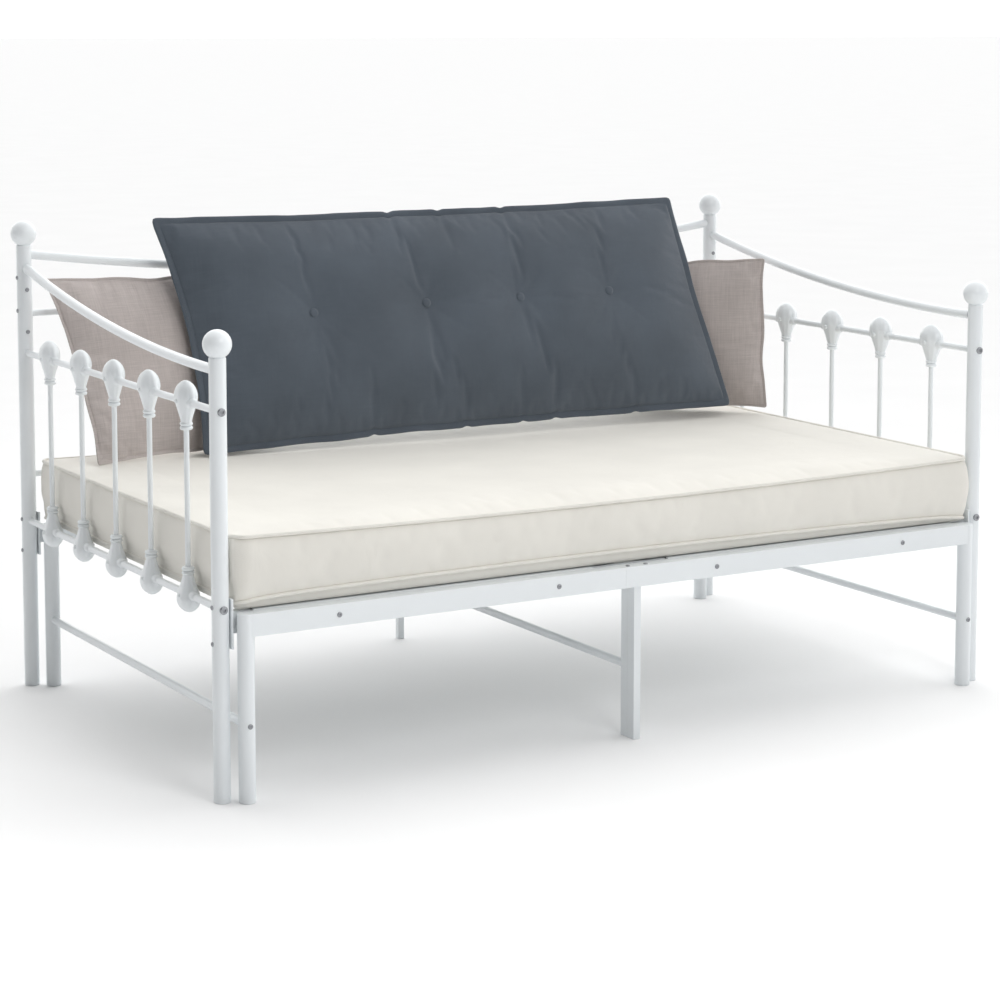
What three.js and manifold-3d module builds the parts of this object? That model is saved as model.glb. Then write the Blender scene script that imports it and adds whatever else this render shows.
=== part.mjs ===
// Metal pull-out daybed: a fixed four-post frame, a second frame that slides out of its front,
// a mattress, one long back cushion and two square pillows.
// Millimetres, +Z up, +Y to the back. The origin is the centre of the footprint at floor level.
import * as THREE from 'three';
import { mergeVertices } from 'three/addons/utils/BufferGeometryUtils.js';
import { ConvexGeometry } from 'three/addons/geometries/ConvexGeometry.js';
import Module from 'manifold-3d';

const wasm = await Module();
wasm.setup();

// ---- driving dimensions ----
const POST_SPAN_X = 2050;      // between post axes, side to side
const POST_SPAN_Y = 1146;      // between post axes, front to back
const POST_D = 37;
const TUBE_WALL = 2;
const FRONT_BALL_Z = 977.5;    // centres of the ball finials
const REAR_BALL_Z = 1130;
const BALL_D = 62.5;
const BALL_SEAT = 28;          // post top below the ball centre
const BALL_NECK_R = 14;
const FOOT_T = 6;              // thickness of a closed tube foot
const BOLT_HOLE_R = 4;
const DRAIN_HOLE_R = 5;
const GAP = 0.3;               // clearance where pieces meet

const RAIL_TOP_Z = 408;        // top of all four deck rails
const RAIL_H = 48;
const RAIL_WALL = 2;

const PANEL_RAIL_D = 16;       // straight rails of the side and back panels
const CURVED_RAIL_D = 22;      // arm rails and top back rail
const SIDE_LOWER_Z = 417;
const SIDE_UPPER_Z = 836.5;
const BACK_LOWER_Z = 533;
const BACK_UPPER_Z = 933;
const ARM_FRONT_Z = 921.5;
const ARM_REAR_Z = 1049.5;
const BACK_TOP_END_Z = 1080;
const BACK_TOP_MIDDLE_Z = 1003;
const BACK_TOP_SHAPE = 1.8;    // power of the curve: 2 is a parabola

const SPINDLE_PITCH = 204;
const SIDE_SPINDLES = 5;
const BACK_SPINDLES = 9;
const SPINDLE_D = 12;
const RAIL_SIDES = 8;          // facets round every straight panel rail
const POST_SIDES = 20;
const BALL_SIDES = 14;
const BRACE_SIDES = 12;
const CURVE_SIDES = 10;
const ARM_STEPS = 12;
const BACK_STEPS = 14;

const LEG_INSET_X = 45;        // sliding legs stand this far inside the posts
const FRONT_LEG_AHEAD = 29;    // and this far ahead of the front posts
const REAR_LEG_AHEAD = 31.5;   // and of the rear posts
const BRACE_D = 19;
const BRACE_Z = 168;
const RAIL_SEAM_X = -36;       // joint between the two halves of the front rail

const SLAT_PITCH = 134;        // slats of one unit; the other unit's lie halfway between
const SLATS_PER_GRID = 7;
const SLAT_W = 46;
const SLAT_T = 7.6;
const SLAT_REST_GAP = 0.4;     // slats above the rails, and the mattress above the slats

const MATTRESS_X = 1996;
const MATTRESS_FRONT_Y = -580;
const MATTRESS_REAR_Y = 545;
const MATTRESS_TOP_Z = 570;
const MATTRESS_CORNER_R = 45;

// ---- values worked out from them ----
const postX = POST_SPAN_X / 2;
const postY = POST_SPAN_Y / 2;
const postR = POST_D / 2;
const legX = postX - LEG_INSET_X;
const frontLegY = -postY - FRONT_LEG_AHEAD;
const rearLegY = postY - REAR_LEG_AHEAD;
const railZ = RAIL_TOP_Z - RAIL_H / 2;
const frontReach = -frontLegY + postR;
const rearReach = postY + BALL_D / 2;

// ---- materials ----
function paint(color, roughness, metalness) {
  return new THREE.MeshStandardMaterial({ color, roughness, metalness });
}
const whiteMetal = paint(0xeef1f2, 0.35, 0.1);
const mattressFabric = paint(0xf0ede4, 0.9, 0);
const slateFabric = paint(0x545b63, 0.9, 0);
const greigeFabric = paint(0xb2a8a4, 0.9, 0);

// ---- solids: three.js geometry in and out of the boolean library ----
function toSolid(geometry) {
  const bare = geometry.clone();
  bare.deleteAttribute('normal');
  bare.deleteAttribute('uv');
  const merged = mergeVertices(bare, 1e-3);
  const index = merged.index.array;
  const corners = [];
  for (let i = 0; i < index.length; i += 3) {
    const [a, b, c] = [index[i], index[i + 1], index[i + 2]];
    if (a !== b && b !== c && c !== a) corners.push(a, b, c);
  }
  return new wasm.Manifold(new wasm.Mesh({
    numProp: 3,
    vertProperties: new Float32Array(merged.attributes.position.array),
    triVerts: new Uint32Array(corners),
  }));
}

function toGeometry(solid) {
  const mesh = solid.getMesh();
  const geometry = new THREE.BufferGeometry();
  geometry.setAttribute('position', new THREE.BufferAttribute(new Float32Array(mesh.vertProperties), 3));
  geometry.setIndex(new THREE.BufferAttribute(new Uint32Array(mesh.triVerts), 1));
  geometry.computeVertexNormals();
  return geometry;
}

function join(first, ...rest) {
  return toGeometry(rest.reduce((sum, next) => sum.add(toSolid(next)), toSolid(first)));
}
function cut(first, ...tools) {
  return toGeometry(tools.reduce((left, tool) => left.subtract(toSolid(tool)), toSolid(first)));
}

// ---- basic shapes ----
const box = (x, y, z) => new THREE.BoxGeometry(x, y, z);
const boxBetween = (x0, x1, y0, y1, z0, z1) =>
  box(x1 - x0, y1 - y0, z1 - z0).translate((x0 + x1) / 2, (y0 + y1) / 2, (z0 + z1) / 2);

// Turned shape about the Z axis from [radius, height] pairs listed from the bottom up.
function turned(profile, sides) {
  const points = profile.map(([radius, height]) => new THREE.Vector2(radius, height));
  return new THREE.LatheGeometry(points, sides).rotateX(Math.PI / 2);
}
const rod = (radius, z0, z1, sides) => turned([[0, z0], [radius, z0], [radius, z1], [0, z1]], sides);

// Open round tube along +Z from 0 to length.
function tube(outerR, length, sides) {
  const innerR = outerR - TUBE_WALL;
  return turned([[innerR, 0], [outerR, 0], [outerR, length], [innerR, length], [innerR, 0]], sides);
}
const alongX = (geometry) => geometry.rotateY(Math.PI / 2);
const alongY = (geometry) => geometry.rotateX(-Math.PI / 2);

// Round tube that follows a plane curve.
function bentTube(curve, outerR, sides, steps) {
  const ring = new THREE.Shape().absarc(0, 0, outerR, 0, Math.PI * 2, false);
  ring.holes.push(new THREE.Path().absarc(0, 0, outerR - TUBE_WALL, 0, Math.PI * 2, true));
  const curveSegments = sides / 2;
  return new THREE.ExtrudeGeometry(ring, { steps, curveSegments, extrudePath: curve, bevelEnabled: false });
}

// Rectangular tube along X from 0 to length, with a drain hole in its underside.
function boxTube(length, depth, height) {
  const bore = box(length + 2, depth - 2 * RAIL_WALL, height - 2 * RAIL_WALL).translate(length / 2, 0, 0);
  const drain = rod(DRAIN_HOLE_R, -height, 0, 8).translate(length / 2, 0, 0);
  return cut(box(length, depth, height).translate(length / 2, 0, 0), bore, drain);
}

// Vertical clearance cylinder of a post or leg, used to shape the end of whatever meets it.
const SADDLE_REACH = REAR_BALL_Z;
const saddle = (x, y) => rod(postR + GAP, -SADDLE_REACH, SADDLE_REACH, POST_SIDES).translate(x, y, 0);

function named(name, geometry, material, x = 0, y = 0, z = 0) {
  const mesh = new THREE.Mesh(geometry, material);
  mesh.name = name;
  mesh.position.set(x, y, z);
  return mesh;
}

// ---- posts, legs and finials ----
function postTube(height) {
  const innerR = postR - TUBE_WALL;
  const profile = [[0, 0], [postR, 0], [postR, height], [innerR, height], [innerR, FOOT_T], [0, FOOT_T]];
  return turned(profile, POST_SIDES);
}

// A leg is capped at both ends and has one small hole for the brace bolt.
function legTube(height) {
  const core = rod(postR - TUBE_WALL, FOOT_T, height - TUBE_WALL, POST_SIDES);
  const boltHole = alongY(rod(BOLT_HOLE_R, 0, 2 * postR, 8)).translate(0, 0, BRACE_Z);
  return cut(rod(postR, 0, height, POST_SIDES), core, boltHole);
}

function ballFinial() {
  const radius = BALL_D / 2;
  const profile = [[0, -BALL_SEAT + GAP], [BALL_NECK_R, -BALL_SEAT + GAP]];
  const lowest = -Math.acos(BALL_NECK_R / radius);
  const bands = BALL_SIDES / 2;
  for (let i = 1; i <= bands; i += 1) {
    const tilt = lowest + (i / bands) * (Math.PI / 2 - lowest);
    profile.push([i === bands ? 0 : radius * Math.cos(tilt), radius * Math.sin(tilt)]);
  }
  return turned(profile, BALL_SIDES);
}

// ---- spindles with their castings ----
// Half of one casting, as [radius, height above the rail axis]; it is flattened across the panel.
const CASTING = [[0, -44], [13, -44], [23, -12], [28, 8], [24, 28], [12, 41], [0, 46]];
const CASTING_ALONG = 36 / 28;
const CASTING_ACROSS = 23.5 / 28;
const COLLAR_R = 14.5;
const COLLAR_TOP = -43;
const COLLAR_BOTTOM = -61;

// A spindle between two rails; its local X runs along the rails and Z is up from the lower rail.
function spindle(railGap) {
  const casting = () => turned(CASTING, 8).scale(CASTING_ALONG, CASTING_ACROSS, 1);
  const stem = turned([
    [0, -COLLAR_TOP], [COLLAR_R, -COLLAR_TOP], [COLLAR_R, -COLLAR_BOTTOM], [SPINDLE_D / 2, -COLLAR_BOTTOM],
    [SPINDLE_D / 2, railGap + COLLAR_BOTTOM], [COLLAR_R, railGap + COLLAR_BOTTOM],
    [COLLAR_R, railGap + COLLAR_TOP], [0, railGap + COLLAR_TOP],
  ], 8);
  const lower = casting().rotateX(Math.PI);
  const upper = casting().translate(0, 0, railGap);
  const bore = () => alongX(rod(PANEL_RAIL_D / 2 + GAP, COLLAR_BOTTOM, -COLLAR_BOTTOM, RAIL_SIDES));
  return cut(join(stem, lower, upper), bore(), bore().translate(0, 0, railGap));
}

// ---- fixed frame ----
function posts() {
  const group = new THREE.Group();
  for (const [end, y, ballZ] of [['front', -postY, FRONT_BALL_Z], ['rear', postY, REAR_BALL_Z]]) {
    for (const [side, x] of [['left', -postX], ['right', postX]]) {
      group.add(named(`${end}_${side}_post`, postTube(ballZ - BALL_SEAT), whiteMetal, x, y, 0));
      group.add(named(`${end}_${side}_ball_finial`, ballFinial(), whiteMetal, x, y, ballZ));
    }
  }
  return group;
}

function sidePanel(side, x) {
  const group = new THREE.Group();
  group.position.set(x, 0, 0);
  const ends = [saddle(0, -postY), saddle(0, postY)];
  const sweep = new THREE.QuadraticBezierCurve3(
    new THREE.Vector3(0, -postY, ARM_FRONT_Z),
    new THREE.Vector3(0, 0, ARM_FRONT_Z),
    new THREE.Vector3(0, postY, ARM_REAR_Z),
  );
  const arm = bentTube(sweep, CURVED_RAIL_D / 2, CURVE_SIDES, ARM_STEPS);
  group.add(named(`${side}_arm_rail`, cut(arm, ...ends), whiteMetal));
  for (const [level, z] of [['upper', SIDE_UPPER_Z], ['lower', SIDE_LOWER_Z]]) {
    const rail = alongY(tube(PANEL_RAIL_D / 2, POST_SPAN_Y, RAIL_SIDES)).translate(0, -postY, z);
    group.add(named(`${side}_${level}_side_rail`, cut(rail, ...ends), whiteMetal));
  }
  const shape = spindle(SIDE_UPPER_Z - SIDE_LOWER_Z).rotateZ(Math.PI / 2);
  for (let i = 0; i < SIDE_SPINDLES; i += 1) {
    const y = (i - (SIDE_SPINDLES - 1) / 2) * SPINDLE_PITCH;
    group.add(named(`${side}_spindle_${i + 1}`, shape.clone(), whiteMetal, 0, y, SIDE_LOWER_Z));
  }
  return group;
}

// The top back rail hangs in a shallow curve between the rear posts.
class BackCurve extends THREE.Curve {
  getPoint(t, target = new THREE.Vector3()) {
    const across = 2 * t - 1;
    const rise = (BACK_TOP_END_Z - BACK_TOP_MIDDLE_Z) * Math.abs(across) ** BACK_TOP_SHAPE;
    return target.set(across * postX, 0, BACK_TOP_MIDDLE_Z + rise);
  }
}

function backPanel() {
  const group = new THREE.Group();
  group.position.set(0, postY, 0);
  const ends = [saddle(-postX, 0), saddle(postX, 0)];
  const top = bentTube(new BackCurve(), CURVED_RAIL_D / 2, CURVE_SIDES, BACK_STEPS);
  group.add(named('top_back_rail', cut(top, ...ends), whiteMetal));
  for (const [level, z] of [['upper', BACK_UPPER_Z], ['lower', BACK_LOWER_Z]]) {
    const rail = alongX(tube(PANEL_RAIL_D / 2, POST_SPAN_X, RAIL_SIDES)).translate(-postX, 0, z);
    group.add(named(`${level}_back_rail`, cut(rail, ...ends), whiteMetal));
  }
  const shape = spindle(BACK_UPPER_Z - BACK_LOWER_Z);
  for (let i = 0; i < BACK_SPINDLES; i += 1) {
    const x = (i - (BACK_SPINDLES - 1) / 2) * SPINDLE_PITCH;
    group.add(named(`back_spindle_${i + 1}`, shape.clone(), whiteMetal, x, 0, BACK_LOWER_Z));
  }
  return group;
}

// A fixed deck rail with the upright end plates that bolt to the inner sides of two posts.
const PLATE_T = 5;
const PLATE_W = 30;
const PLATE_H = 108;
const DECK_RAIL_D = 24;
function fixedDeckRail(railShift) {
  const plateX = postX - postR - GAP - PLATE_T / 2;
  const length = 2 * plateX;
  const rail = boxTube(length, DECK_RAIL_D, RAIL_H).translate(-length / 2, railShift, 0);
  const plate = (x) => box(PLATE_T, PLATE_W, PLATE_H).translate(x, 0, 0);
  return join(rail, plate(-plateX), plate(plateX));
}
const FRONT_DECK_RAIL_SHIFT = 13;
const REAR_DECK_RAIL_SHIFT = 3;

// ---- slat grids: flat bars joined by one cross strip into a comb ----
const SLAT_BOTTOM_Z = RAIL_TOP_Z + SLAT_REST_GAP;
// The strip runs from outer to inner and the bars run on from there to far.
function comb(firstX, outer, inner, far) {
  const margin = SLAT_W / 2;
  const outline = new THREE.Shape();
  const lastX = firstX + (SLATS_PER_GRID - 1) * SLAT_PITCH;
  outline.moveTo(firstX - margin, outer);
  for (let i = 0; i < SLATS_PER_GRID; i += 1) {
    const x = firstX + i * SLAT_PITCH;
    outline.lineTo(x - margin, i === 0 ? outer : inner);
    outline.lineTo(x - margin, far);
    outline.lineTo(x + margin, far);
    outline.lineTo(x + margin, inner);
  }
  outline.lineTo(lastX + margin, outer);
  outline.closePath();
  const bars = new THREE.ExtrudeGeometry(outline, { depth: SLAT_T, bevelEnabled: false });
  return bars.translate(0, 0, SLAT_BOTTOM_Z);
}

const GRID_SPAN = (SLATS_PER_GRID - 1) * SLAT_PITCH;
const FIXED_FIRST = 59;        // centre of the fixed slat nearest the middle
const SLIDING_FIRST = FIXED_FIRST + SLAT_PITCH / 2;
const FIXED_SLAT_FRONT_Y = -553;   // clear of the strip that joins the sliding slats
function fixedGrids() {
  const group = new THREE.Group();
  const stripY = postY + REAR_DECK_RAIL_SHIFT;
  for (const [side, first] of [['left', -FIXED_FIRST - GRID_SPAN], ['right', FIXED_FIRST]]) {
    const shape = comb(first, stripY + DECK_RAIL_D / 2, stripY - DECK_RAIL_D / 2, FIXED_SLAT_FRONT_Y);
    group.add(named(`${side}_fixed_slat_grid`, shape, whiteMetal));
  }
  return group;
}

const FRONT_RAIL_D = 36;
const FLANGE_T = 10;
const FLANGE_RAISE = 5;        // lower edge of the flange above the rail's lower edge
const LEDGE_T = 1.2;           // thin ledge that carries the slats behind the flange
const SLAT_SETBACK = 20;       // slat ends behind the flange's front face
const frontRailBackY = frontLegY + FRONT_RAIL_D / 2;
function slidingGrids() {
  const group = new THREE.Group();
  const flangeY0 = frontRailBackY + GAP;
  const slatY0 = flangeY0 + SLAT_SETBACK;
  const slatY1 = slatY0 + FLANGE_T;
  const flangeZ0 = RAIL_TOP_Z - RAIL_H + FLANGE_RAISE;
  const ledgeZ1 = SLAT_BOTTOM_Z + LEDGE_T;
  for (const [side, first] of [['left', -SLIDING_FIRST - GRID_SPAN], ['right', SLIDING_FIRST]]) {
    const bars = comb(first, slatY0, slatY1, rearLegY + REAR_RAIL_D / 2);
    const x0 = first - SLAT_W / 2;
    const x1 = first + GRID_SPAN + SLAT_W / 2;
    const flange = boxBetween(x0, x1, flangeY0, flangeY0 + FLANGE_T, flangeZ0, ledgeZ1);
    const ledge = boxBetween(x0, x1, flangeY0, slatY1, SLAT_BOTTOM_Z, ledgeZ1);
    group.add(named(`${side}_sliding_slat_grid`, join(bars, flange, ledge), whiteMetal));
  }
  return group;
}

// ---- sliding frame ----
const REAR_RAIL_D = 20;
const REAR_RAIL_H = 36;
const CENTRE_LEG_W = 19;
const CENTRE_LEG_D = 27;
const CENTRE_LEG_SETBACK = 8;  // behind the front of the corner legs
const REAR_SECTION_DROP = 10;  // the rear section stops this far below the front one
const REAR_CENTRE_LEG = 17;
function slidingFrame() {
  const group = new THREE.Group();
  const sides = [['left', -legX], ['right', legX]];
  for (const [side, x] of sides) {
    group.add(named(`${side}_front_leg`, legTube(RAIL_TOP_Z), whiteMetal, x, frontLegY, 0));
    group.add(named(`${side}_rear_leg`, legTube(RAIL_TOP_Z), whiteMetal, x, rearLegY, 0));
    const brace = alongY(tube(BRACE_D / 2, rearLegY - frontLegY, BRACE_SIDES));
    brace.translate(0, frontLegY, BRACE_Z);
    const trimmed = cut(brace, saddle(0, frontLegY), saddle(0, rearLegY));
    group.add(named(`${side}_low_brace`, trimmed, whiteMetal, x, 0, 0));
  }

  const leftLength = RAIL_SEAM_X - GAP / 2 + legX;
  const rightLength = legX - RAIL_SEAM_X - GAP / 2;
  const leftRail = cut(boxTube(leftLength, FRONT_RAIL_D, RAIL_H), saddle(0, 0));
  const rightRail = cut(boxTube(rightLength, FRONT_RAIL_D, RAIL_H), saddle(rightLength, 0));
  group.add(named('left_front_rail', leftRail, whiteMetal, -legX, frontLegY, railZ));
  group.add(named('right_front_rail', rightRail, whiteMetal, RAIL_SEAM_X + GAP / 2, frontLegY, railZ));

  const rearRail = cut(boxTube(2 * legX, REAR_RAIL_D, REAR_RAIL_H), saddle(0, 0), saddle(2 * legX, 0));
  group.add(named('sliding_rear_rail', rearRail, whiteMetal, -legX, rearLegY, RAIL_TOP_Z - REAR_RAIL_H / 2));

  const underRail = RAIL_TOP_Z - RAIL_H - GAP;
  const frontFace = frontLegY - postR + CENTRE_LEG_SETBACK;
  const rearFace = frontFace + 2 * CENTRE_LEG_D + GAP;
  const standing = (depth, height) => boxTube(height, depth, CENTRE_LEG_W).rotateY(-Math.PI / 2);
  const frontSection = standing(CENTRE_LEG_D, underRail);
  group.add(named('centre_leg_front_section', frontSection, whiteMetal, 0, frontFace + CENTRE_LEG_D / 2, 0));
  const rearSection = standing(CENTRE_LEG_D, underRail - REAR_SECTION_DROP);
  group.add(named('centre_leg_rear_section', rearSection, whiteMetal, 0, rearFace - CENTRE_LEG_D / 2, 0));
  const rearCentre = boxTube(RAIL_TOP_Z - REAR_RAIL_H - GAP, REAR_CENTRE_LEG, REAR_CENTRE_LEG);
  group.add(named('centre_rear_leg', rearCentre.rotateY(-Math.PI / 2), whiteMetal, 0, rearLegY, 0));
  const braceY0 = rearFace + GAP;
  const braceLength = rearLegY - REAR_CENTRE_LEG / 2 - GAP - braceY0;
  group.add(named('centre_low_brace', alongY(tube(BRACE_D / 2, braceLength, BRACE_SIDES)), whiteMetal,
    0, braceY0, BRACE_Z));
  return group;
}

// ---- soft goods ----
function mattress() {
  const [halfX, r] = [MATTRESS_X / 2, MATTRESS_CORNER_R];
  const [y0, y1] = [MATTRESS_FRONT_Y, MATTRESS_REAR_Y];
  const outline = new THREE.Shape();
  outline.absarc(halfX - r, y1 - r, r, 0, Math.PI / 2, false);
  outline.absarc(-halfX + r, y1 - r, r, Math.PI / 2, Math.PI, false);
  outline.absarc(-halfX + r, y0 + r, r, Math.PI, Math.PI * 1.5, false);
  outline.absarc(halfX - r, y0 + r, r, Math.PI * 1.5, Math.PI * 2, false);
  const bottom = SLAT_BOTTOM_Z + SLAT_T + SLAT_REST_GAP;
  const depth = MATTRESS_TOP_Z - bottom;
  const solid = new THREE.ExtrudeGeometry(outline, { depth, bevelEnabled: false, curveSegments: 5 });
  return named('mattress', solid, mattressFabric, 0, 0, bottom);
}

// Stuffed pad: thin all round its edge and thick in the middle.
// corners are its lower left, lower right, upper right and upper left, seen from the front.
function pad(name, material, { corners, thick, edge, taper }) {
  const [lowerLeft, lowerRight, upperRight, upperLeft] = corners.map((c) => new THREE.Vector3(...c));
  const across = lowerRight.clone().add(upperRight).sub(lowerLeft).sub(upperLeft);
  const up = upperLeft.clone().add(upperRight).sub(lowerLeft).sub(lowerRight);
  const normal = across.clone().cross(up).normalize();
  const insetAcross = taper / (across.length() / 2);
  const insetUp = taper / (up.length() / 2);
  const at = (s, t) => lowerLeft.clone().lerp(lowerRight, s).lerp(upperLeft.clone().lerp(upperRight, s), t);
  const points = [];
  for (const side of [-1, 1]) {
    for (const s of [0, 1]) {
      for (const t of [0, 1]) {
        points.push(at(s, t).addScaledVector(normal, side * edge / 2));
        const inner = at(Math.abs(s - insetAcross), Math.abs(t - insetUp));
        points.push(inner.addScaledVector(normal, side * thick / 2));
      }
    }
  }
  return named(name, new ConvexGeometry(points), material);
}

const BACK_CUSHION = {
  corners: [[-653, 343, 580], [880, 256, 603], [790, 436, 1174], [-715, 516, 1167]],
  thick: 104, edge: 14, taper: 150,
};
const LEFT_PILLOW = {
  corners: [[-927, 352, 577], [-472, 448, 580], [-527, 543, 1003], [-994, 520, 1013]],
  thick: 72, edge: 12, taper: 130,
};
const RIGHT_PILLOW = {
  corners: [[714, 540, 582], [996, 250, 588], [994, 264, 998], [718, 545, 988]],
  thick: 72, edge: 12, taper: 130,
};

// ---- assembly ----
const daybed = new THREE.Group();
daybed.position.y = (frontReach - rearReach) / 2;
daybed.add(posts());
daybed.add(sidePanel('left', -postX));
daybed.add(sidePanel('right', postX));
daybed.add(backPanel());
const frontDeckRail = fixedDeckRail(FRONT_DECK_RAIL_SHIFT);
const rearDeckRail = fixedDeckRail(REAR_DECK_RAIL_SHIFT);
daybed.add(named('fixed_front_deck_rail', frontDeckRail, whiteMetal, 0, -postY, railZ));
daybed.add(named('fixed_rear_deck_rail', rearDeckRail, whiteMetal, 0, postY, railZ));
daybed.add(fixedGrids());
daybed.add(slidingFrame());
daybed.add(slidingGrids());
daybed.add(mattress());
daybed.add(pad('back_cushion', slateFabric, BACK_CUSHION));
daybed.add(pad('left_pillow', greigeFabric, LEFT_PILLOW));
daybed.add(pad('right_pillow', greigeFabric, RIGHT_PILLOW));

export default daybed;
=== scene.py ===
"""Pull-out metal daybed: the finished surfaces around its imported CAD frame.

Metres, +Z up, +Y to the back. Most places are read from the frame's nodes. The
heights of the bent rails, of most bolts and of the mattress seams are set here instead.
"""
import math

import bpy
from mathutils import Matrix, Vector, noise


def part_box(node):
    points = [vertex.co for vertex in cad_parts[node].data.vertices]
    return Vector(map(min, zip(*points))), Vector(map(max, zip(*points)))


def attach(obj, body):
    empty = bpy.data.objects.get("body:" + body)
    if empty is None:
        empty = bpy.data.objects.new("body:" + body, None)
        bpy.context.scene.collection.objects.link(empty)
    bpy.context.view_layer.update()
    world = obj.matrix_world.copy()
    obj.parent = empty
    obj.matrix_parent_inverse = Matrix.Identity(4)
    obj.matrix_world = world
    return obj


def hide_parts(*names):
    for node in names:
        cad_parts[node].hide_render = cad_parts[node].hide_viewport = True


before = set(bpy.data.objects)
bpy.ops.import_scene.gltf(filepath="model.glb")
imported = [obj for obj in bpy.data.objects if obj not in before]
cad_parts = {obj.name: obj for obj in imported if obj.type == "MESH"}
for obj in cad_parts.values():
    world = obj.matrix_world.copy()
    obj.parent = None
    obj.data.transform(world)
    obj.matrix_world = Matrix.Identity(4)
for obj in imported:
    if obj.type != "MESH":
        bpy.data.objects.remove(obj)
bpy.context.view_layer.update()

X_AXIS, Y_AXIS, Z_AXIS = Vector((1, 0, 0)), Vector((0, 1, 0)), Vector((0, 0, 1))


def centre(node):
    low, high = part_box(node)
    return (low + high) / 2


# ---- places and sizes read from the frame ----
POST_R = (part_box("front_left_post")[1].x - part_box("front_left_post")[0].x) / 2
SIDES = {side: centre(f"front_{side}_post").x for side in ("left", "right")}
FRONT_Y = centre("front_left_post").y
REAR_Y = centre("rear_left_post").y
LEG_FRONT_Y = centre("left_front_leg").y
LEG_REAR_Y = centre("left_rear_leg").y
SIDE_LOWER_Z = centre("left_lower_side_rail").z
SIDE_UPPER_Z = centre("left_upper_side_rail").z
BACK_LOWER_Z = centre("lower_back_rail").z
BACK_UPPER_Z = centre("upper_back_rail").z
RAIL_TOP_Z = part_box("left_front_rail")[1].z
BRACE_Z = centre("left_low_brace").z
MATTRESS_LOW, MATTRESS_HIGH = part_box("mattress")

# ---- sizes that no box gives ----
PANEL_RAIL_R = 0.008
CURVED_RAIL_R = 0.011
BRACE_R = 0.0095
SPINDLE_R = 0.006
BALL_R = 0.03125
EMBED = 0.006                  # how far a welded rail end runs into its post
ARM_REAR_Z = 1.0495            # axis of an arm rail at its rear post
TOP_RAIL_MIDDLE_Z = 1.003      # axis of the top back rail halfway along
TOP_RAIL_END_Z = 1.080         # and at the posts
TOP_RAIL_POWER = 1.8           # how late the top back rail turns up
REST_Z = 0.5752                # soft pieces on the mattress stay above this

# Bolt heads: heights on the posts and places along the front rail.
DECK_BOLTS_Z = (0.421, 0.343)
REAR_OUTER_BOLTS_Z = (1.022, 0.9405)
REAR_INNER_BOLTS_Z = (0.993, 0.889)
FRONT_RAIL_BOLTS_X = (-0.768, -0.216, 0.216, 0.768)
SEAM_BOLTS_X = (-0.024, 0.024)
SEAM_BOLT_SETBACK = 0.012

# Mattress: heights and sizes of its seams, and how far its border may swell.
CROWN_Z = 0.5735
TOP_SEAM_Z, TOP_SEAM_CLIMB = 0.5565, 0.012
BOTTOM_SEAM_Z, BOTTOM_SEAM_TILT, BOTTOM_SEAM_SAG, EAR_DROP = 0.4405, 0.004, 0.0105, 0.009
PIPING_R = 0.0045
PIPING_PROUD, PIPING_SUNK = 0.0036, -0.0012
BORDER_SWELL, BORDER_PUCKER = 0.017, 0.004
FRONT_SWELL_FROM, FRONT_SWELL_TO = 0.018, 0.03
REAR_SWELL_FROM, REAR_SWELL_TO = -0.002, 0.0022

# Pads: the lip starts inside the seam, and a button presses one patch of each face.
LIP_TUCK = 0.014
BUTTON_PRESSED_R = 0.012
BUTTON_SEAT_R = 0.009

# The camera, in front and to the left.
CAMERA_PLACE = (-3.2215, -5.4646, 1.6307)
CAMERA_YAW, CAMERA_PITCH = 30.4362, 6.2193
CAMERA_LENS, CAMERA_SENSOR = 93.1, 36
CAMERA_SHIFT_Y = -0.19


# ---- meshes ----
def new_object(name, vertices, faces, material, sharp_angle=40):
    """A smooth-shaded mesh object with its hard edges kept."""
    mesh = bpy.data.meshes.new(name)
    mesh.from_pydata([tuple(v) for v in vertices], [], [tuple(f) for f in faces])
    mesh.validate()
    mesh.polygons.foreach_set("use_smooth", [True] * len(mesh.polygons))
    if sharp_angle:
        mesh.set_sharp_from_angle(angle=math.radians(sharp_angle))
    mesh.materials.append(material)
    obj = bpy.data.objects.new(name, mesh)
    bpy.context.scene.collection.objects.link(obj)
    return obj


def instance(name, source):
    """Another object that shows the same mesh."""
    obj = bpy.data.objects.new(name, source.data)
    bpy.context.scene.collection.objects.link(obj)
    return obj


def finished(obj, body, slot_name, *nodes):
    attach(obj, body)
    if nodes:
        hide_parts(*nodes)
    return obj


def merged(*shapes):
    """Several (vertices, faces) shapes as one."""
    vertices, faces = [], []
    for shape_vertices, shape_faces in shapes:
        start = len(vertices)
        vertices += [Vector(v) for v in shape_vertices]
        faces += [[start + i for i in face] for face in shape_faces]
    return vertices, faces


def moved(shape, matrix):
    vertices, faces = shape
    return [matrix @ Vector(v) for v in vertices], faces


def lathe(profile, sides=40, shape_ring=None):
    """Turned solid about Z from (radius, height) pairs listed upwards, closed on the axis.

    shape_ring(angle, height) may return a factor for the radius, for flutes and lobes."""
    vertices, faces, rings = [], [], []
    for radius, height in profile:
        start = len(vertices)
        if radius < 1e-7:
            vertices.append(Vector((0, 0, height)))
            rings.append([start])
            continue
        for i in range(sides):
            angle = 2 * math.pi * i / sides
            reach = radius * (shape_ring(angle, height) if shape_ring else 1)
            vertices.append(Vector((reach * math.cos(angle), reach * math.sin(angle), height)))
        rings.append(list(range(start, start + sides)))
    for low, high in zip(rings, rings[1:]):
        for i in range(sides):
            j = (i + 1) % sides
            corners = [low[i % len(low)], low[j % len(low)], high[j % len(high)], high[i % len(high)]]
            faces.append(list(dict.fromkeys(corners)))
    return vertices, faces


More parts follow.
